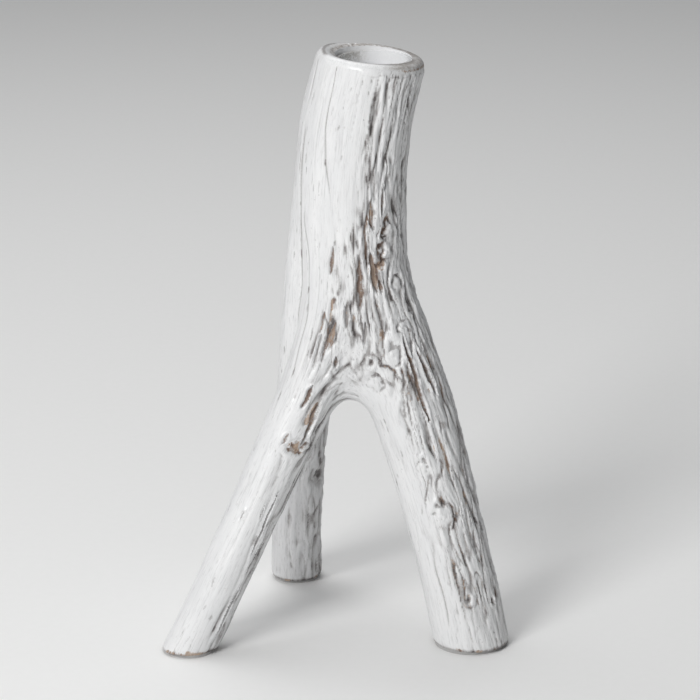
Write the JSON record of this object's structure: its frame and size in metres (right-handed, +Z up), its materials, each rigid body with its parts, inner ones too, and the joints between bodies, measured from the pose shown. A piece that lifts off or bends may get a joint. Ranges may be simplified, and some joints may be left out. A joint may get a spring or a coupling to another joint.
{
  "type": "candlestick",
  "caption": "Rustic branch candlestick: a leaning trunk on three splayed branch legs, with a candle cup let into its tilted top, under a white wash.",
  "frame": {"origin": "on the table, in the middle of the box that the candlestick fills", "axes": "+X to the right as the front is seen, +Y from the front towards the rear leg, +Z up along the candle"},
  "size_m": [0.1156, 0.0857, 0.1968],
  "materials": {
    "washed_wood_trunk": "gloss",
    "washed_wood_left_leg": "gloss",
    "washed_wood_right_leg": "gloss",
    "washed_wood_rear_leg": "gloss",
    "dowel_wood": "matte",
    "cup_enamel": "gloss",
    "screw_steel": "satin",
    "pad_felt": "matte"
  },
  "bodies": {
    "root": {"stem": "washed_wood_trunk", "left_leg": "washed_wood_left_leg", "right_leg": "washed_wood_right_leg", "rear_leg": "washed_wood_rear_leg", "left_dowel": "dowel_wood", "right_dowel": "dowel_wood", "rear_dowel": "dowel_wood", "candle_cup": "cup_enamel", "cup_screw": "screw_steel", "left_pad": "pad_felt", "right_pad": "pad_felt", "rear_pad": "pad_felt"}
  },
  "joints": []
}
